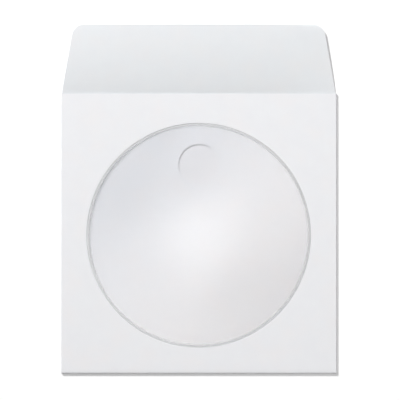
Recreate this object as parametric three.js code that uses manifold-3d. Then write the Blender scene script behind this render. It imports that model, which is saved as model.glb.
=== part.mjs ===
// Paper sleeve for one disc: a folded and glued paper envelope with a round clear window
// in its front, a thumb hole in its back and an open closing flap that runs on from the back.
// The sleeve lies on its back with the window up and the flap along +Y.
// Millimetres, +Z up, origin under the middle of the whole outline.

import * as THREE from 'three';
import { mergeVertices } from 'three/addons/utils/BufferGeometryUtils.js';
import Module from 'manifold-3d';

const wasm = await Module();
wasm.setup();

// Window and the paper left around it on the front
const windowDiameter = 101.6;
const sideMargin = 11.7;
const bottomMargin = 11.7;
const topMargin = 13.2;

// Closing flap, as seen from above. Its crease lies just past the edge of the front.
const flapLength = 31.3;
const flapTaper = 5.5;
const flapCorner = 4.5;
const creaseGap = 0.1;

// Back panel and the seams that hold it
const thumbDiameter = 18.3;
const thumbFromWindowTop = 18.7;
const backClearance = 0.55;
const seamWidth = 12;
const seamLowSlant = 4.5;
const seamHighSlant = 8;
const seamHighDrop = 1.5;
const seamBorder = 1.5;

// Sheets
const paper = 0.12;
const film = 0.04;
const filmMargin = 4.2;
const filmHeldRim = 6;
const glueLine = 0.02;
const seamBite = 0.02;

// How far the folds stand open, and how the panels sag or rise between them
const sideFoldInner = 0.4;
const frontSag = 0.3;
const backRise = 0.1;
const filmRise = 0.2;
const flapRise = 1.6;
const flapDroop = 0.62;
const bottomEase = 42;
const flatEdge = 1.5;

// Fineness of the facets
const panelSteps = 16;
const foldSteps = 8;
const flapSteps = 8;
const cornerSteps = 5;
const windowSides = 96;
const thumbSides = 48;

// Outline of the closed body and of the whole sheet
const bodyWidth = windowDiameter + 2 * sideMargin;
const mouthY = bottomMargin + windowDiameter + topMargin;
const windowY = bottomMargin + windowDiameter / 2;
const thumbY = bottomMargin + windowDiameter - thumbFromWindowTop;
const creaseY = mouthY + creaseGap;
const wholeLength = mouthY + flapLength;
const flapRun = wholeLength - creaseY;

// Side folds: the sheet turns half round under the front, and the seam flap lies on the table
const sideFoldRadius = sideFoldInner + paper / 2;
const frontHalf = bodyWidth / 2 - sideFoldInner - paper;
const edgeHeight = paper / 2 + 2 * sideFoldRadius;
const sideFoldRun = Math.PI * sideFoldRadius;
const seamFlat = seamWidth - sideFoldInner - paper;

// Bottom fold: the back panel turns under the front and lies on the seam flaps
const backHeight = 1.5 * paper - seamBite;
const backHalf = bodyWidth / 2 - backClearance;
const bottomFoldRadius = (edgeHeight - backHeight) / 2;
const bottomFoldY = bottomFoldRadius + paper / 2;
const bottomFoldRun = Math.PI * bottomFoldRadius;
const tuck = flatEdge / 2;
const backFree = bodyWidth / 2 - seamWidth - seamBorder;

// Evenly spaced values from one to another, both included
function spread(from, to, steps) {
  return Array.from({ length: steps + 1 }, (_, i) => from + ((to - from) * i) / steps);
}

// Joined lists of values with the shared ends kept once
function chain(...lists) {
  return lists.flatMap((list, i) => (i === 0 ? list : list.slice(1)));
}

// Where the front is divided, which its film follows too
const frontColumns = spread(-frontHalf, frontHalf, panelSteps);
const frontRows = chain(
  [bottomFoldY, bottomFoldY + flatEdge],
  spread(bottomFoldY + flatEdge, mouthY, panelSteps),
);

// A smooth rise from 0 to 1 as a value goes from 0 to 1
function ease(value) {
  const part = THREE.MathUtils.clamp(value, 0, 1);
  return part * part * (3 - 2 * part);
}

// A low dome that is 1 in the middle and runs out level at both ends
function dome(value) {
  const part = THREE.MathUtils.clamp(Math.abs(value), 0, 1);
  return (1 - part * part) ** 2;
}

// The panels keep the height of the bottom fold along it and come loose above it
function openness(y) {
  return ease((y - bottomFoldY - flatEdge) / bottomEase);
}

function frontHeight(x, y) {
  return edgeHeight - frontSag * dome(x / frontHalf) * openness(y);
}

function backPanelHeight(x, y) {
  return backHeight + backRise * dome(x / backFree) * openness(y);
}

// A thin sheet as a divided box. Each corner of the division is moved to its place on the bent
// sheet: place takes the two values of its column and row and its height off the middle layer.
function bentSheet(columns, rows, thickness, place) {
  const across = columns.length - 1;
  const along = rows.length - 1;
  const box = new THREE.BoxGeometry(1, 1, 1, across, along, 1);
  const corners = box.attributes.position;
  for (let i = 0; i < corners.count; i += 1) {
    const column = columns[Math.round((corners.getX(i) + 0.5) * across)];
    const row = rows[Math.round((corners.getY(i) + 0.5) * along)];
    const [x, y, z] = place(column, row, corners.getZ(i) * thickness);
    corners.setXYZ(i, x, y, z);
  }
  return box;
}

// A closed geometry as a solid that can be joined and cut
function toSolid(geometry) {
  const bare = geometry.clone();
  bare.deleteAttribute('normal');
  bare.deleteAttribute('uv');
  const merged = mergeVertices(bare, 1e-5);
  return new wasm.Manifold(new wasm.Mesh({
    numProp: 3,
    vertProperties: new Float32Array(merged.attributes.position.array),
    triVerts: new Uint32Array(merged.index.array),
  }));
}

function toGeometry(solid) {
  const mesh = solid.getMesh();
  const geometry = new THREE.BufferGeometry();
  geometry.setAttribute('position', new THREE.BufferAttribute(mesh.vertProperties, 3));
  geometry.setIndex(new THREE.BufferAttribute(mesh.triVerts, 1));
  geometry.computeVertexNormals();
  return geometry;
}

// An upright round cutter
function cutter(diameter, y, low, high, sides) {
  const round = new THREE.CylinderGeometry(diameter / 2, diameter / 2, high - low, sides);
  round.rotateX(Math.PI / 2);
  round.translate(0, y, (low + high) / 2);
  return toSolid(round);
}

// Ends of the seam flap at a distance in from its fold: both are cut back on a slant
function seamEnds(inward) {
  const share = inward / seamFlat;
  return {
    low: bottomFoldY + seamLowSlant * share,
    high: mouthY - seamHighDrop - seamHighSlant * share,
  };
}

// Front panel with both side folds and seam flaps, bent out of one strip. The column value runs
// over the flat sheet from the middle of the front, and the row value is the height on the front.
function placeOnWrap(flat, y, off) {
  const side = Math.sign(flat);
  const run = Math.abs(flat);
  if (run <= frontHalf) {
    return [flat, y, frontHeight(flat, y) + off];
  }
  const turned = run - frontHalf;
  if (turned <= sideFoldRun) {
    const angle = turned / sideFoldRadius;
    const reach = sideFoldRadius + off;
    const x = side * (frontHalf + reach * Math.sin(angle));
    return [x, y, paper / 2 + sideFoldRadius + reach * Math.cos(angle)];
  }
  const inward = turned - sideFoldRun;
  const { low, high } = seamEnds(inward);
  const share = (y - bottomFoldY) / (mouthY - bottomFoldY);
  return [side * (frontHalf - inward), low + (high - low) * share, paper / 2 - off];
}

function makeWrap() {
  const foldEnd = frontHalf + sideFoldRun;
  const seamEnd = foldEnd + seamFlat;
  const columns = chain(
    spread(-seamEnd, -foldEnd, 1),
    spread(-foldEnd, -frontHalf, foldSteps),
    frontColumns,
    spread(frontHalf, foldEnd, foldSteps),
    spread(foldEnd, seamEnd, 1),
  );
  return toSolid(bentSheet(columns, frontRows, paper, placeOnWrap));
}

// Half the width of the flap at a height on it: slanted sides, then the round corners
function flapHalfWidth(y) {
  const straight = backHalf - (flapTaper * (y - creaseY)) / flapRun;
  const cornerStart = wholeLength - flapCorner;
  if (y <= cornerStart) {
    return straight;
  }
  const rise = Math.min((y - cornerStart) / flapCorner, 1);
  return straight - flapCorner * (1 - Math.sqrt(1 - rise * rise));
}

// The opened flap springs up from its crease and levels out towards its tip, and its sides droop
function placeOnFlap(x, y, off) {
  const left = 1 - (y - creaseY) / flapRun;
  const across = x / backHalf;
  const lift = flapRise * (1 - left * left) * (1 - flapDroop * across * across);
  return [across * flapHalfWidth(y), y, backPanelHeight(x, creaseY) + lift - off];
}

// Back panel with the bottom fold and the flap. The row value runs over the flat sheet from the
// bottom edge of the front, round the fold, up the back and out to the tip of the flap. The
// columns run towards -X, so that the outer face of the sheet stays outside.
function placeOnBack(column, run, off) {
  const x = -column;
  if (run <= 0) {
    return [x, bottomFoldY - run, edgeHeight + off];
  }
  if (run <= bottomFoldRun) {
    const angle = run / bottomFoldRadius;
    const reach = bottomFoldRadius + off;
    const middle = edgeHeight - bottomFoldRadius;
    return [x, bottomFoldY - reach * Math.sin(angle), middle + reach * Math.cos(angle)];
  }
  const y = bottomFoldY + run - bottomFoldRun;
  return y > creaseY ? placeOnFlap(x, y, off) : [x, y, backPanelHeight(x, y) - off];
}

function makeBack() {
  const onSheet = (y) => bottomFoldRun + y - bottomFoldY;
  const cornerStart = wholeLength - flapCorner;
  const cornerRows = spread(0, Math.PI / 2, cornerSteps).map(
    (angle) => onSheet(cornerStart + flapCorner * Math.sin(angle)),
  );
  const columns = chain(
    [-backHalf, -backFree],
    spread(-backFree, backFree, panelSteps),
    [backFree, backHalf],
  );
  const rows = chain(
    [-tuck, 0],
    spread(0, bottomFoldRun, foldSteps),
    [bottomFoldRun, bottomFoldRun + flatEdge],
    spread(bottomFoldRun + flatEdge, onSheet(creaseY), panelSteps),
    spread(onSheet(creaseY), onSheet(cornerStart), flapSteps),
    cornerRows,
  );
  return toSolid(bentSheet(columns, rows, paper, placeOnBack));
}

function makePaperSleeve() {
  const pocketMiddle = (edgeHeight - frontSag + backHeight + backRise) / 2;
  const above = edgeHeight + 2 * sideFoldRadius;
  const windowCut = cutter(windowDiameter, windowY, pocketMiddle, above, windowSides);
  const thumbCut = cutter(thumbDiameter, thumbY, -paper, pocketMiddle, thumbSides);
  const folded = makeWrap().add(makeBack());
  return toGeometry(folded.subtract(windowCut).subtract(thumbCut));
}

// The values of a list that lie between two limits, with the limits as its ends
function within(values, low, high) {
  return [low, ...values.filter((value) => value > low && value < high), high];
}

// Clear square patch glued inside the front, lifted a little where the window leaves it free
function makeWindowFilm() {
  const half = windowDiameter / 2 + filmMargin;
  const free = windowDiameter / 2 - filmHeldRim;
  const below = paper / 2 + glueLine + film / 2;
  const columns = within(frontColumns, -half, half);
  const rows = within(frontRows, windowY - half, windowY + half);
  return bentSheet(columns, rows, film, (x, y, off) => {
    const lift = filmRise * dome(Math.hypot(x, y - windowY) / free);
    return [x, y, frontHeight(x, y) - below + lift + off];
  });
}

function paperMaterial() {
  return new THREE.MeshStandardMaterial({ color: 0xf1f2f4, roughness: 0.9, metalness: 0 });
}

function filmMaterial() {
  return new THREE.MeshStandardMaterial({
    color: 0xeef2f6,
    roughness: 0.12,
    metalness: 0,
    transparent: true,
    opacity: 0.3,
  });
}

function namedMesh(name, geometry, material) {
  const mesh = new THREE.Mesh(geometry, material);
  mesh.name = name;
  mesh.position.y = -wholeLength / 2;
  return mesh;
}

const group = new THREE.Group();
group.add(namedMesh('paper_sleeve', makePaperSleeve(), paperMaterial()));
group.add(namedMesh('window_film', makeWindowFilm(), filmMaterial()));

export default group;
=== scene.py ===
import math

import bmesh
import bpy
from mathutils import Matrix, Vector


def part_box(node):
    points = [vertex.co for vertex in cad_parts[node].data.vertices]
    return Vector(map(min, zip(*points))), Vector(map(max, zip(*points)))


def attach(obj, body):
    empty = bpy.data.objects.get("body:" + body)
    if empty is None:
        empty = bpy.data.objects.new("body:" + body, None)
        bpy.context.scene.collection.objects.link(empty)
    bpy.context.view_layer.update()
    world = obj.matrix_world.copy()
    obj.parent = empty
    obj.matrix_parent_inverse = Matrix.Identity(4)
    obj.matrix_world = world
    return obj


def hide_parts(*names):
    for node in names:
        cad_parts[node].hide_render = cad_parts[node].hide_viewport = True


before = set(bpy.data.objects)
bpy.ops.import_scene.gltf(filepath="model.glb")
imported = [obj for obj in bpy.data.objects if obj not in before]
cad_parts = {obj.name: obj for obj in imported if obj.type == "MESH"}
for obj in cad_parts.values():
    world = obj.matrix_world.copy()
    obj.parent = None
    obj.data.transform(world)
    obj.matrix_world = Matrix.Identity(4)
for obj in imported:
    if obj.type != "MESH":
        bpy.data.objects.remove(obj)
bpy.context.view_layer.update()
sleeveLow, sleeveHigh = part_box("paper_sleeve")
mm = 0.001

# Paper window sleeve lying on its back. Sizes are in metres; y runs up the sleeve from its
# bottom fold, and the folded sheet is shifted to the frame at the end.
sleeve = {
    "paper": 0.12 * mm,
    "windowDiameter": 101.6 * mm,
    "bottomMargin": 11.7 * mm,
    "flapLength": 31.3 * mm,
    "flapTaper": 5.5 * mm,
    "flapCorner": 4.5 * mm,
    "creaseGap": 0.1 * mm,
    "thumbDiameter": 18.3 * mm,
    "thumbFromWindowTop": 18.7 * mm,
    "backClearance": 0.55 * mm,
    "seamWidth": 12 * mm,
    "seamLowSlant": 4.5 * mm,
    "seamHighSlant": 8 * mm,
    "seamHighDrop": 1.5 * mm,
    "seamDropShare": 0.25,      # part of a seam flap's width that its upper drop takes
    "sideFoldInner": 0.4 * mm,
    "glueLine": 0.01 * mm,
    "grain": 1.6 * mm,          # length of a facet on the panels
    "foldSteps": 10,            # facets round each fold
    "cornerSteps": 9,           # facets round each corner of the flap
    "springSteps": 2,           # facets to each run of the springy crease
    "rings": 9,                 # facets between a round hole and the square grid
    "windowBlock": 55 * mm,     # half of the square that the window's rings fill
    "thumbBlock": 13 * mm,
    "weld": 0.002 * mm,         # corners nearer than this are one
}

# How the panels stand off the flat: what hands and glue leave in thin paper
lay = {
    "frontSag": 0.3 * mm,
    "backRise": 0.1 * mm,
    "bottomEase": 42 * mm,      # the panels open over this run above the bottom fold
    "flatEdge": 1.5 * mm,       # stays flat beside the bottom fold and the glued seams
    "flapRise": 1.85 * mm,
    "flapBend": 2.3,            # more bends the flap nearer its crease
    "flapDroop": (0.15, 0.6),   # share of the lift that its left and right edges lose
    "droopPower": 4,            # keeps the droop near the edges
    "springHeight": 0.06 * mm,  # the crease lets the flap leave it a little steeper
    "springRun": 0.7 * mm,
    "springSpan": 3,            # runs until the spring is spent
    "flapWave": 0.5,            # share of the waves that shows in the free flap
}

# Long shallow waves in the sheets: height, wavelength, direction in degrees, start
waves = [
    (0.024 * mm, 61 * mm, 24, 0.6),
    (0.014 * mm, 38 * mm, 103, 2.1),
    (0.007 * mm, 23 * mm, 151, 4.0),
]

# Room for rounding: in a count of facets, in a block's reach, and in telling corners apart
facetSlack = 0.001
blockSlack = 1.0001
cornersPerMetre = 1e7
sharpAngle = math.radians(40)

bodyWidth = sleeveHigh[0] - sleeveLow[0]
wholeLength = sleeveHigh[1] - sleeveLow[1]
windowRadius = sleeve["windowDiameter"] / 2
windowY = sleeve["bottomMargin"] + windowRadius
thumbRadius = sleeve["thumbDiameter"] / 2
thumbY = windowY + windowRadius - sleeve["thumbFromWindowTop"]
mouthY = wholeLength - sleeve["flapLength"]
creaseY = mouthY + sleeve["creaseGap"]
flapRun = wholeLength - creaseY

sideFoldRadius = sleeve["sideFoldInner"] + sleeve["paper"] / 2
frontHalf = bodyWidth / 2 - sleeve["sideFoldInner"] - sleeve["paper"]
edgeHeight = sleeve["paper"] / 2 + 2 * sideFoldRadius
sideFoldRun = math.pi * sideFoldRadius
seamFlat = sleeve["seamWidth"] - sleeve["sideFoldInner"] - sleeve["paper"]
backHeight = 1.5 * sleeve["paper"] + sleeve["glueLine"]
backHalf = bodyWidth / 2 - sleeve["backClearance"]
bottomFoldRadius = (edgeHeight - backHeight) / 2
bottomFoldY = bottomFoldRadius + sleeve["paper"] / 2
bottomFoldRun = math.pi * bottomFoldRadius
backFree = bodyWidth / 2 - sleeve["seamWidth"] - lay["flatEdge"]
flatTo = bottomFoldY + lay["flatEdge"]


# Node helpers

def toLinear(hexColour):
    # the standard curve from a screen colour to linear light
    parts = [int(hexColour[i:i + 2], 16) / 255 for i in (1, 3, 5)]
    linear = [c / 12.92 if c <= 0.04045 else ((c + 0.055) / 1.055) ** 2.4 for c in parts]
    return (*linear, 1)


def addNode(tree, kind, links=None, **settings):
    node = tree.nodes.new(kind)
    for name, value in settings.items():
        setattr(node, name, value)
    for socket, value in (links or {}).items():
        if isinstance(value, bpy.types.NodeSocket):
            tree.links.new(value, node.inputs[socket])
        else:
            node.inputs[socket].default_value = value
    return node


def calc(tree, operation, *values, clamp=False):
    node = addNode(tree, "ShaderNodeMath", dict(enumerate(values)), operation=operation,
                   use_clamp=clamp)
    return node.outputs[0]


def vectorCalc(tree, operation, *values):
    node = addNode(tree, "ShaderNodeVectorMath", dict(enumerate(values)), operation=operation)
    givesNumber = operation in ("DISTANCE", "DOT_PRODUCT", "LENGTH")
    return node.outputs["Value" if givesNumber else "Vector"]


def mapRange(tree, value, low, high, toLow=0, toHigh=1, kind="LINEAR"):
    node = addNode(tree, "ShaderNodeMapRange",
                   {"Value": value, "From Min": low, "From Max": high, "To Min": toLow,
                    "To Max": toHigh}, interpolation_type=kind)
    return node.outputs["Result"]


def mixColours(tree, share, first, second, blend="MIX"):
    node = addNode(tree, "ShaderNodeMix", {0: share, 6: first, 7: second}, data_type="RGBA",
                   blend_type=blend)
    return node.outputs[2]


def emptyTree(holder):
    # a new material's or world's node tree, without the nodes it starts with
    holder.use_nodes = True
    holder.node_tree.nodes.clear()
    return holder.node_tree


def objectPlace(tree):
    return addNode(tree, "ShaderNodeTexCoord").outputs["Object"]


def levelPart(tree, spot):
    return vectorCalc(tree, "MULTIPLY", spot, (1, 1, 0))


# Heights of the sheets' middle layers

def ease(value):
    part = min(max(value, 0), 1)
    return part * part * (3 - 2 * part)


def dome(value):
    part = min(abs(value), 1)
    return (1 - part * part) ** 2


def wave(x, y):
    total = 0
    for height, length, turn, start in waves:
        along = x * math.cos(math.radians(turn)) + y * math.sin(math.radians(turn))
        total += height * math.sin(2 * math.pi * along / length + start)
    return total


def openness(y):
    return ease((y - bottomFoldY - lay["flatEdge"]) / lay["bottomEase"])


def frontHeight(x, y):
    return edgeHeight + (wave(x, y) - lay["frontSag"]) * dome(x / frontHalf) * openness(y)


def backPanelHeight(x, y):
    return backHeight + lay["backRise"] * dome(x / backFree) * openness(y)


# Where a point of the flat sheet ends up once it is folded

def placeOnFront(flat, y):
    side = math.copysign(1, flat)
    run = abs(flat)
    if run <= frontHalf:
        return (flat, y, frontHeight(flat, y))
    turned = run - frontHalf
    if turned <= sideFoldRun:
        angle = turned / sideFoldRadius
        x = side * (frontHalf + sideFoldRadius * math.sin(angle))
        return (x, y, sleeve["paper"] / 2 + sideFoldRadius * (1 + math.cos(angle)))
    inward = turned - sideFoldRun
    share = inward / seamFlat
    dropped = min(1, share / sleeve["seamDropShare"])
    low = bottomFoldY + sleeve["seamLowSlant"] * share
    high = mouthY - sleeve["seamHighDrop"] * dropped - sleeve["seamHighSlant"] * share
    part = (y - bottomFoldY) / (mouthY - bottomFoldY)
    return (side * (frontHalf - inward), low + (high - low) * part, sleeve["paper"] / 2)


def flapHalfWidth(y):
    straight = backHalf - sleeve["flapTaper"] * (y - creaseY) / flapRun
    rise = min(max((y - wholeLength) / sleeve["flapCorner"] + 1, 0), 1)
    return straight - sleeve["flapCorner"] * (1 - math.sqrt(1 - rise * rise))


def placeOnFlap(x, y):
    out = y - creaseY
    across = x / backHalf
    leftDroop, rightDroop = lay["flapDroop"]
    droop = rightDroop if x > 0 else leftDroop
    bend = 1 - (1 - out / flapRun) ** lay["flapBend"]
    lift = lay["flapRise"] * bend * (1 - droop * across ** lay["droopPower"])
    lift += lay["springHeight"] * (1 - math.exp(-out / lay["springRun"]))
    lift += lay["flapWave"] * wave(x, y) * ease(out / flapRun)
    return (across * flapHalfWidth(y), y, backPanelHeight(x, creaseY) + lift)


def placeOnBack(x, run):
    if run <= bottomFoldRun:
        angle = run / bottomFoldRadius
        y = bottomFoldY - bottomFoldRadius * math.sin(angle)
        return (x, y, edgeHeight - bottomFoldRadius * (1 - math.cos(angle)))
    y = bottomFoldY + run - bottomFoldRun
    return placeOnFlap(x, y) if y > creaseY else (x, y, backPanelHeight(x, y))


# The folded sheet

def divide(stops, step):
    values = [stops[0]]
    for low, high in zip(stops, stops[1:]):
        count = max(1, math.ceil((high - low) / step - facetSlack))
        values += [low + (high - low) * (i + 1) / count for i in range(count)]
    return values


def laySheet(bm, columns, rows, hole, place, turned):
    # a divided sheet with a round hole; hole is its middle, its radius and half of its block
    middleX, middleY, radius, block = hole
    corners = {}

    def corner(x, y):
        key = (round(x * cornersPerMetre), round(y * cornersPerMetre))
        if key not in corners:
            corners[key] = bm.verts.new(place(x, y))
        return corners[key]

    def face(points):
        ring = [corner(*point) for point in points]
        bm.faces.new(ring[::-1] if turned else ring)

    for left, right in zip(columns, columns[1:]):
        for low, high in zip(rows, rows[1:]):
            aside = max(abs((left + right) / 2 - middleX), abs((low + high) / 2 - middleY))
            if aside > block:
                face([(left, low), (right, low), (right, high), (left, high)])

    blockX = [x for x in columns if abs(x - middleX) <= block * blockSlack]
    blockY = [y for y in rows if abs(y - middleY) <= block * blockSlack]
    border = [(x, blockY[0]) for x in blockX[:-1]]
    border += [(blockX[-1], y) for y in blockY[:-1]]
    border += [(x, blockY[-1]) for x in blockX[:0:-1]]
    border += [(blockX[0], y) for y in blockY[:0:-1]]
    loops = []
    for ring in range(sleeve["rings"] + 1):
        share = ring / sleeve["rings"]
        loop = []
        for x, y in border:
            scale = radius / math.hypot(x - middleX, y - middleY)
            pull = 1 - share + share * scale
            loop.append((middleX + (x - middleX) * pull, middleY + (y - middleY) * pull))
        loops.append(loop)
    for outer, inner in zip(loops, loops[1:]):
        for i in range(len(border)):
            j = (i + 1) % len(border)
            face([outer[i], outer[j], inner[j], inner[i]])


def backRuns(onSheet, thumb):
    # where the back and its flap are divided, along the sheet from the bottom fold
    grain = sleeve["grain"]
    cornerStart = wholeLength - sleeve["flapCorner"]
    springEnd = creaseY + lay["springSpan"] * lay["springRun"]
    springFacet = lay["springRun"] / sleeve["springSteps"]
    parts = [([bottomFoldY, thumbY - thumb, thumbY + thumb, creaseY], grain),
             ([creaseY, springEnd], springFacet),
             ([springEnd, cornerStart], grain)]
    runs = divide([0, bottomFoldRun], bottomFoldRun / sleeve["foldSteps"])
    for stops, step in parts:
        runs += [y + onSheet for y in divide(stops, step)[1:]]
    for i in range(sleeve["cornerSteps"]):
        angle = math.pi / 2 * (i + 1) / sleeve["cornerSteps"]
        runs.append(cornerStart + sleeve["flapCorner"] * math.sin(angle) + onSheet)
    return runs


def foldSheet():
    grain = sleeve["grain"]
    window = sleeve["windowBlock"]
    thumb = sleeve["thumbBlock"]
    shared = divide([-backHalf, -window, -thumb, thumb, window, backHalf], grain)
    foldEnd = frontHalf + sideFoldRun
    foldPart = divide([frontHalf, foldEnd], sideFoldRun / sleeve["foldSteps"])
    half = foldPart + divide([foldEnd, foldEnd + seamFlat], grain)[1:]
    columns = [-value for value in reversed(half)] + shared + half
    rows = divide([bottomFoldY, flatTo, windowY - window, windowY + window, mouthY], grain)
    bm = bmesh.new()
    laySheet(bm, columns, rows, (0, windowY, windowRadius, window), placeOnFront, False)

    onSheet = bottomFoldRun - bottomFoldY
    laySheet(bm, shared, backRuns(onSheet, thumb), (0, thumbY + onSheet, thumbRadius, thumb),
             placeOnBack, True)

    bmesh.ops.remove_doubles(bm, verts=bm.verts, dist=sleeve["weld"])
    bmesh.ops.translate(bm, verts=bm.verts, vec=(0, sleeveLow[1], 0))
    mesh = bpy.data.meshes.new("foldedSheet")
    bm.to_mesh(mesh)
    bm.free()
    return mesh


def finishMesh(obj):
    # the modifiers' result as a plain mesh, smooth but for its cut edges
    bpy.context.view_layer.update()
    depsgraph = bpy.context.evaluated_depsgraph_get()
    mesh = bpy.data.meshes.new_from_object(obj.evaluated_get(depsgraph), depsgraph=depsgraph)
    obj.modifiers.clear()
    obj.data = mesh
    mesh.name = obj.name
    mesh.polygons.foreach_set("use_smooth", [True] * len(mesh.polygons))
    mesh.set_sharp_from_angle(angle=sharpAngle)
    mesh.update()


def addObject(name, data):
    obj = bpy.data.objects.new(name, data)
    bpy.context.scene.collection.objects.link(obj)
    return obj


# Uncoated wood-free paper, machine finished: matt, cool white, with a faint cloudy formation
# and short fibres.
paperFinish = {
    "pale": "#F3F4F6",
    "deep": "#EFEFF2",
    "cloud": 7 * mm,            # size of a cloud in the formation
    "cloudDetail": 3,
    "cloudRoughness": 0.6,
    "warmTint": "#F3F1F2",
    "tint": 11 * mm,
    "tintDetail": 2,
    "tintRange": (0.45, 0.75),  # of the noise, from no tint to its most
    "tintMost": 0.7,
    "innerSidePaintedShade": "#F9FBFB",    # painted shade: the sheet's inner side, seen on the flap and behind the film, is a touch cooler and darker
    "fibre": 1.3 * mm,          # length of a fibre, drawn coarser than the real 0.9 mm
    "fibreWidth": 0.35 * mm,    # the real ones are 0.03 mm wide and would not show
    "fibreHeight": 0.004 * mm,
    "fibreTurns": (0.2, 1.1, 2.4),
    "roughness": 0.92,
    "ior": 1.45,
    "gloss": 0.25,
}


def addFibres(tree, place):
    height = 0
    fibre = 1 / paperFinish["fibre"]
    for turn in paperFinish["fibreTurns"]:
        lie = addNode(tree, "ShaderNodeMapping",
                      {"Vector": place, "Rotation": (0, 0, turn),
                       "Scale": (1 / paperFinish["fibreWidth"], fibre, fibre)})
        layer = addNode(tree, "ShaderNodeTexNoise",
                        {"Vector": lie.outputs["Vector"], "Scale": 1, "Detail": 1})
        height = calc(tree, "ADD", height, layer.outputs["Fac"])
    return addNode(tree, "ShaderNodeBump",
                   {"Height": height, "Distance": paperFinish["fibreHeight"], "Strength": 1})


def makePaperMaterial():
    material = bpy.data.materials.new("uncoatedWoodfreePaper")
    tree = emptyTree(material)
    place = objectPlace(tree)
    clouds = addNode(tree, "ShaderNodeTexNoise",
                     {"Vector": place, "Scale": 1 / paperFinish["cloud"],
                      "Detail": paperFinish["cloudDetail"],
                      "Roughness": paperFinish["cloudRoughness"]})
    tints = addNode(tree, "ShaderNodeTexNoise",
                    {"Vector": place, "Scale": 1 / paperFinish["tint"],
                     "Detail": paperFinish["tintDetail"]})
    colour = mixColours(tree, clouds.outputs["Fac"], toLinear(paperFinish["deep"]),
                        toLinear(paperFinish["pale"]))
    tinted = mapRange(tree, tints.outputs["Fac"], *paperFinish["tintRange"],
                      toHigh=paperFinish["tintMost"])
    colour = mixColours(tree, tinted, colour, toLinear(paperFinish["warmTint"]))
    # painted shade: the inner side, on the flap and inside the window, is multiplied darker
    inner = addNode(tree, "ShaderNodeAttribute", attribute_name="innerSide")
    colour = mixColours(tree, inner.outputs["Fac"], colour, toLinear(paperFinish["innerSidePaintedShade"]),
                        blend="MULTIPLY")
    shader = addNode(tree, "ShaderNodeBsdfPrincipled",
                     {"Base Color": colour, "Normal": addFibres(tree, place).outputs["Normal"],
                      "Roughness": paperFinish["roughness"], "IOR": paperFinish["ior"],
                      "Specular IOR Level": paperFinish["gloss"]})
    addNode(tree, "ShaderNodeOutputMaterial", {"Surface": shader.outputs["BSDF"]})
    return material


def markInnerSide(mesh):
    # thickening put the sheet's inner side in the second slot; the material reads it by name
    inner = [float(face.material_index) for face in mesh.polygons]
    mesh.attributes.new("innerSide", "FLOAT", "FACE").data.foreach_set("value", inner)
    mesh.polygons.foreach_set("material_index", [0] * len(inner))
    mesh.materials.pop(index=1)


def makePaperSleeve():
    obj = addObject("paperSleeve", foldSheet())
    paper = makePaperMaterial()
    obj.data.materials.append(paper)
    obj.data.materials.append(paper)
    thicken = obj.modifiers.new("sheetThickness", "SOLIDIFY")
    thicken.thickness = sleeve["paper"]
    thicken.offset = 0
    thicken.use_even_offset = True
    thicken.material_offset = 1
    finishMesh(obj)
    markInnerSide(obj.data)
    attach(obj, "root")
    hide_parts("paper_sleeve")
    print("paper sleeve:", len(obj.data.polygons), "faces")


# Clear film glued inside the front. It follows the front's own heights, with a low crown and
# faint buckles where it is free behind the window. These are the inputs of its node tree.
film = {
    "Patch side": 110 * mm,
    "Film thickness": 0.04 * mm,
    "Facets": 180,
    "Drop below front": 0.10 * mm,
    "Rise": 0.40 * mm,
    "Free radius": 49.2 * mm,
    "Shoulder height": 0.01 * mm,
    "Shoulder run": 2.4 * mm,
    "Buckle height": 0.004 * mm,
    "Buckle size": 13 * mm,
}
filmGrid = {
    "border": 1 * mm,           # edge of the patch whose grid stays square
    "innermost": 0.01 * mm,     # keeps the middle from dividing by nothing
}
filmFinish = {
    "ior": 1.49,
    "roughness": 0.15,
    "paintedCoolLightClear": "#F8F8F9",     # painted light: the clear tint is cooler at the top left and warmer at the bottom right
    "paintedWarmLightClear": "#FAF9F9",
    "paintedLightDrift": 45 * mm,
    "gloss": "#FFFFFF",
    "paintedRimShadeTopLeft": "#E8E9EB",      # painted shade: a grey ring just inside the window's edge, lighter at the top left
    "paintedRimShadeBottomRight": "#CCCDCF",
    "paintedRimShadeCover": 0.75,
    "paintedRimShadeWidth": 1.9 * mm,
}


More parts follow.
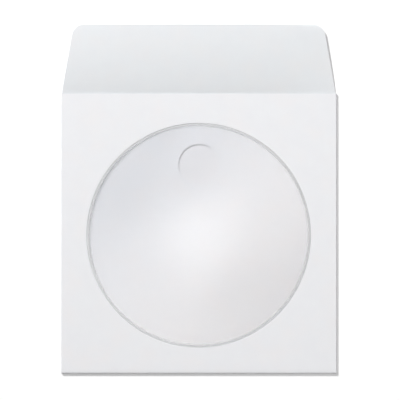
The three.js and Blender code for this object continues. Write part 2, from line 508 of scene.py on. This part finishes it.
# Cast polypropylene film: clear and glossy on both faces; its casting drum leaves the gloss soft
def makeFilmMaterial():
    material = bpy.data.materials.new("castPolypropyleneFilm")
    tree = emptyTree(material)
    # light leaving the film meets the same index step, so both faces mirror alike
    backfacing = addNode(tree, "ShaderNodeNewGeometry").outputs["Backfacing"]
    ior = mapRange(tree, backfacing, 0, 1, filmFinish["ior"], 1 / filmFinish["ior"])
    mirror = addNode(tree, "ShaderNodeFresnel", {"IOR": ior})

    place = objectPlace(tree)
    middle = (0, windowY + sleeveLow[1], 0)
    away = vectorCalc(tree, "DISTANCE", levelPart(tree, place), middle)
    # painted shade: a dark diffuse ring in the film along the window's edge, where the pocket's
    # shade falls
    rim = mapRange(tree, away, windowRadius - filmFinish["paintedRimShadeWidth"], windowRadius,
                   kind="SMOOTHSTEP")
    paintedRimShadeShare = calc(tree, "MULTIPLY", rim, filmFinish["paintedRimShadeCover"])
    # painted light and shade along the diagonal: cool clear and light ring at the top left, warm
    # clear and dark ring at the bottom right
    diagonal = (math.sqrt(0.5), -math.sqrt(0.5), 0)
    across = vectorCalc(tree, "DOT_PRODUCT", place, diagonal)
    paintedLightDrift = mapRange(tree, across, -filmFinish["paintedLightDrift"], filmFinish["paintedLightDrift"], kind="SMOOTHSTEP")
    paintedLightTint = mixColours(tree, paintedLightDrift, toLinear(filmFinish["paintedCoolLightClear"]),
                      toLinear(filmFinish["paintedWarmLightClear"]))
    paintedRimShade = mixColours(tree, paintedLightDrift, toLinear(filmFinish["paintedRimShadeTopLeft"]),
                      toLinear(filmFinish["paintedRimShadeBottomRight"]))

    clear = addNode(tree, "ShaderNodeBsdfTransparent", {"Color": paintedLightTint})
    paintedRimShadeLayer = addNode(tree, "ShaderNodeBsdfDiffuse", {"Color": paintedRimShade})
    body = addNode(tree, "ShaderNodeMixShader", {0: paintedRimShadeShare, 1: clear.outputs[0],
                                                 2: paintedRimShadeLayer.outputs[0]})
    gloss = addNode(tree, "ShaderNodeBsdfGlossy", {"Color": toLinear(filmFinish["gloss"]),
                                                   "Roughness": filmFinish["roughness"]})
    shader = addNode(tree, "ShaderNodeMixShader",
                     {0: mirror.outputs[0], 1: body.outputs[0], 2: gloss.outputs[0]})
    addNode(tree, "ShaderNodeOutputMaterial", {"Surface": shader.outputs[0]})
    return material


def addFilmInputs(tree):
    sizes = {}
    for name, value in film.items():
        kind = "NodeSocketInt" if isinstance(value, int) else "NodeSocketFloat"
        socket = tree.interface.new_socket(name, in_out="INPUT", socket_type=kind)
        socket.default_value = value
        sizes[name] = socket.identifier
    socket = tree.interface.new_socket("Finish", in_out="INPUT", socket_type="NodeSocketMaterial")
    sizes["Finish"] = socket.identifier
    tree.interface.new_socket("Geometry", in_out="OUTPUT", socket_type="NodeSocketGeometry")
    return sizes


def roundGrid(tree, mesh):
    # draws the grid's square rings into round ones, except near the border of the patch
    spot = addNode(tree, "GeometryNodeInputPosition").outputs[0]
    parts = addNode(tree, "ShaderNodeSeparateXYZ", {0: spot}).outputs
    ring = calc(tree, "MAXIMUM", *[calc(tree, "ABSOLUTE", parts[i]) for i in (0, 1)])
    radius = vectorCalc(tree, "LENGTH", levelPart(tree, spot))
    safe = calc(tree, "MAXIMUM", radius, filmGrid["innermost"])
    scale = calc(tree, "DIVIDE", ring, safe)
    square = mapRange(tree, ring, windowRadius, film["Patch side"] / 2 - filmGrid["border"])
    pull = addNode(tree, "ShaderNodeMix", {0: square, 2: scale, 3: 1}).outputs[0]
    factor = addNode(tree, "ShaderNodeCombineXYZ", {0: pull, 1: pull, 2: 1})
    moved = vectorCalc(tree, "MULTIPLY", spot, factor.outputs[0])
    return addNode(tree, "GeometryNodeSetPosition",
                   {"Geometry": mesh, "Position": moved}).outputs[0]


def addDome(tree, distance, reach):
    part = calc(tree, "DIVIDE", distance, reach)
    square = calc(tree, "MULTIPLY", part, part, clamp=True)
    rest = calc(tree, "SUBTRACT", 1, square)
    return calc(tree, "MULTIPLY", rest, rest)


def addFrontHeight(tree, level):
    # frontHeight() again, for a point given from the middle of the window
    across = addNode(tree, "ShaderNodeSeparateXYZ", {0: level}).outputs["X"]
    aboveFold = vectorCalc(tree, "ADD", level, (0, windowY, 0))
    rise = -lay["frontSag"]
    for height, length, turn, start in waves:
        heading = Vector((math.cos(math.radians(turn)), math.sin(math.radians(turn)), 0))
        along = vectorCalc(tree, "DOT_PRODUCT", aboveFold, heading * (2 * math.pi / length))
        swing = calc(tree, "SINE", calc(tree, "ADD", along, start))
        rise = calc(tree, "MULTIPLY_ADD", swing, height, rise)
    row = addNode(tree, "ShaderNodeSeparateXYZ", {0: aboveFold}).outputs["Y"]
    openPart = mapRange(tree, row, flatTo, flatTo + lay["bottomEase"], kind="SMOOTHSTEP")
    lifted = calc(tree, "MULTIPLY", rise, addDome(tree, across, frontHalf))
    return calc(tree, "MULTIPLY_ADD", lifted, openPart, edgeHeight)


def addFilmHeight(tree, level, given):
    glued = calc(tree, "SUBTRACT", addFrontHeight(tree, level), given["Drop below front"])
    # a small shoulder behind the rim, then the low crown and the buckles of the free film
    radius = vectorCalc(tree, "LENGTH", level)
    inside = calc(tree, "SUBTRACT", given["Free radius"], radius)
    held = calc(tree, "MAXIMUM", calc(tree, "DIVIDE", inside, given["Shoulder run"]), 0)
    faded = calc(tree, "MULTIPLY", calc(tree, "MULTIPLY", held, held), -1)
    gained = calc(tree, "SUBTRACT", 1, calc(tree, "EXPONENT", faded))
    shoulder = calc(tree, "MULTIPLY_ADD", gained, given["Shoulder height"], glued)
    crown = addDome(tree, radius, given["Free radius"])
    crowned = calc(tree, "MULTIPLY_ADD", crown, given["Rise"], shoulder)
    buckles = addNode(tree, "ShaderNodeTexNoise",
                      {"Vector": level, "Scale": calc(tree, "DIVIDE", 1, given["Buckle size"]),
                       "Detail": 1})
    buckle = calc(tree, "MULTIPLY", buckles.outputs["Fac"], given["Buckle height"])
    return calc(tree, "MULTIPLY_ADD", buckle, gained, crowned)


def buildFilmTree():
    tree = bpy.data.node_groups.new("windowFilmSheet", "GeometryNodeTree")
    sizes = addFilmInputs(tree)
    given = addNode(tree, "NodeGroupInput").outputs
    box = addNode(tree, "ShaderNodeCombineXYZ",
                  {0: given["Patch side"], 1: given["Patch side"], 2: given["Film thickness"]})
    sheet = addNode(tree, "GeometryNodeMeshCube",
                    {"Size": box.outputs[0], "Vertices X": given["Facets"],
                     "Vertices Y": given["Facets"], "Vertices Z": 2})
    rounded = roundGrid(tree, sheet.outputs["Mesh"])
    spot = addNode(tree, "GeometryNodeInputPosition").outputs[0]
    height = addFilmHeight(tree, levelPart(tree, spot), given)
    offset = addNode(tree, "ShaderNodeCombineXYZ", {1: windowY + sleeveLow[1], 2: height})
    placed = addNode(tree, "GeometryNodeSetPosition",
                     {"Geometry": rounded, "Offset": offset.outputs[0]})
    real = addNode(tree, "GeometryNodeRealizeInstances", {0: placed.outputs[0]})
    coated = addNode(tree, "GeometryNodeSetMaterial",
                     {"Geometry": real.outputs[0], "Material": given["Finish"]})
    addNode(tree, "NodeGroupOutput", {0: coated.outputs[0]})
    return tree, sizes


def makeWindowFilm():
    material = makeFilmMaterial()
    tree, sizes = buildFilmTree()
    obj = addObject("windowFilm", bpy.data.meshes.new("windowFilm"))
    shape = obj.modifiers.new("filmSheet", "NODES")
    shape.node_group = tree
    for name, value in film.items():
        shape[sizes[name]] = value
    shape[sizes["Finish"]] = material
    finishMesh(obj)
    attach(obj, "root")
    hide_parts("window_film")
    print("window film:", len(obj.data.polygons), "faces")


# Table, lights and camera: metres, degrees and watts. The key panel and the fill card stand
# aside; the bank and the lamp hang overhead and show in the film.
studio = {
    "tableSide": 8,
    "tableDrop": 0.02 * mm,
    "tableWhite": "#FAFAFA",
    "tableRoughness": 0.95,
    "tableGlow": 0.17,
    "paintedShadeUnderHole": "#ECEDEF",   # painted shade: the table under the thumb hole is a darker grey, out of the bright surround
    "paintedShadeReach": 13 * mm,
    "skyWhite": "#FFFFFF",
    "fill": 0.17,               # the surround's strength where it only lights
    "keyHeading": (-0.592, 0.805),
    "keyLift": 30,
    "keyDistance": 1.9,
    "keySize": 0.34,
    "keyPower": 45.6,
    "cardPlace": (0.45, -0.02, 0.35),
    "cardSize": (0.2, 0.3),
    "cardPower": 0.55,
    "bankHeading": 45,
    "bankHeight": 1.46,
    "bankShift": 0.008,
    "bankSize": (0.6, 0.16),
    "bankPower": 0.9,
    "lampHeight": 1.44,
    "lampSize": (0.06, 0.12),
    "lampShift": -0.014,
    "lampPower": 0.12,
    "cameraHeight": 1.4,
    "cameraReach": 100,
    "metresPerPixel": 0.4526 * mm,
    "imageSide": 400,
    "sleeveAt": (198.7, 199.0),  # pixel where the middle of the sleeve shows
}


def seenRays(tree):
    # 1 where a ray shows the surroundings themselves, 0 where it only lights something
    path = addNode(tree, "ShaderNodeLightPath").outputs
    seen = calc(tree, "MAXIMUM", path["Is Camera Ray"], path["Is Glossy Ray"])
    return calc(tree, "MAXIMUM", seen, path["Is Transmission Ray"])


def makeTable():
    half = studio["tableSide"] / 2
    drop = -studio["tableDrop"]
    mesh = bpy.data.meshes.new("table")
    corners = [(-half, -half, drop), (half, -half, drop), (half, half, drop), (-half, half, drop)]
    mesh.from_pydata(corners, [], [(0, 1, 2, 3)])
    obj = addObject("table", mesh)
    material = bpy.data.materials.new("whiteTable")
    tree = emptyTree(material)
    # painted shade: the table seen through the thumb hole is coloured darker and gets no glow
    hole = (0, thumbY + sleeveLow[1], 0)
    away = vectorCalc(tree, "DISTANCE", objectPlace(tree), hole)
    clear = calc(tree, "GREATER_THAN", away, studio["paintedShadeReach"])
    colour = mixColours(tree, clear, toLinear(studio["paintedShadeUnderHole"]),
                        toLinear(studio["tableWhite"]))
    shown = calc(tree, "MULTIPLY", seenRays(tree), clear)
    glow = calc(tree, "MULTIPLY", shown, studio["tableGlow"])
    shader = addNode(tree, "ShaderNodeBsdfPrincipled",
                     {"Base Color": colour, "Roughness": studio["tableRoughness"],
                      "Specular IOR Level": 0, "Emission Color": toLinear(studio["skyWhite"]),
                      "Emission Strength": glow})
    addNode(tree, "ShaderNodeOutputMaterial", {"Surface": shader.outputs["BSDF"]})
    mesh.materials.append(material)


def makeWorld():
    world = bpy.data.worlds.new("studio")
    bpy.context.scene.world = world
    tree = emptyTree(world)
    strength = mapRange(tree, seenRays(tree), 0, 1, toLow=studio["fill"])
    sky = addNode(tree, "ShaderNodeBackground",
                  {"Color": toLinear(studio["skyWhite"]), "Strength": strength})
    addNode(tree, "ShaderNodeOutputWorld", {"Surface": sky.outputs[0]})


def addPanel(name, place, size, power, turn=Matrix(), shape="RECTANGLE"):
    # a soft panel that shines straight down until it is turned
    light = bpy.data.lights.new(name, "AREA")
    light.shape = shape
    light.size, light.size_y = size
    light.energy = power
    obj = addObject(name, light)
    obj.matrix_world = Matrix.Translation(place) @ turn
    obj.visible_camera = False


def towards(heading):
    return Vector(heading).to_track_quat("Z", "Y").to_matrix().to_4x4()


def makeLights():
    lift = math.radians(studio["keyLift"])
    headX, headY = studio["keyHeading"]
    heading = Vector((headX * math.cos(lift), headY * math.cos(lift), math.sin(lift)))
    side = studio["keySize"]
    addPanel("keyPanel", heading * studio["keyDistance"], (side, side), studio["keyPower"],
             towards(heading))
    addPanel("fillCard", studio["cardPlace"], studio["cardSize"], studio["cardPower"],
             towards(studio["cardPlace"]))
    above = Vector((0, windowY + sleeveLow[1], studio["bankHeight"]))
    turn = Matrix.Rotation(math.radians(studio["bankHeading"]), 4, "Z")
    middle = above + turn @ Vector((0, -studio["bankShift"], 0))
    addPanel("overheadBank", middle, studio["bankSize"], studio["bankPower"], turn)
    addPanel("overheadLamp", (0, above.y + studio["lampShift"], studio["lampHeight"]),
             studio["lampSize"], studio["lampPower"], shape="ELLIPSE")


def makeCamera():
    camera = bpy.data.cameras.new("overheadCamera")
    width = studio["imageSide"] * studio["metresPerPixel"]
    camera.lens = camera.sensor_width * studio["cameraHeight"] / width
    camera.clip_end = studio["cameraReach"]
    obj = addObject("overheadCamera", camera)
    middle = studio["imageSide"] / 2
    aside = (middle - studio["sleeveAt"][0]) * studio["metresPerPixel"]
    down = (studio["sleeveAt"][1] - middle) * studio["metresPerPixel"]
    obj.location = (aside, down, studio["cameraHeight"])
    bpy.context.scene.camera = obj


bpy.context.scene.view_settings.view_transform = "Standard"
makeCamera()
makeWorld()
makeLights()
makeTable()
print("studio ready")
makePaperSleeve()
makeWindowFilm()
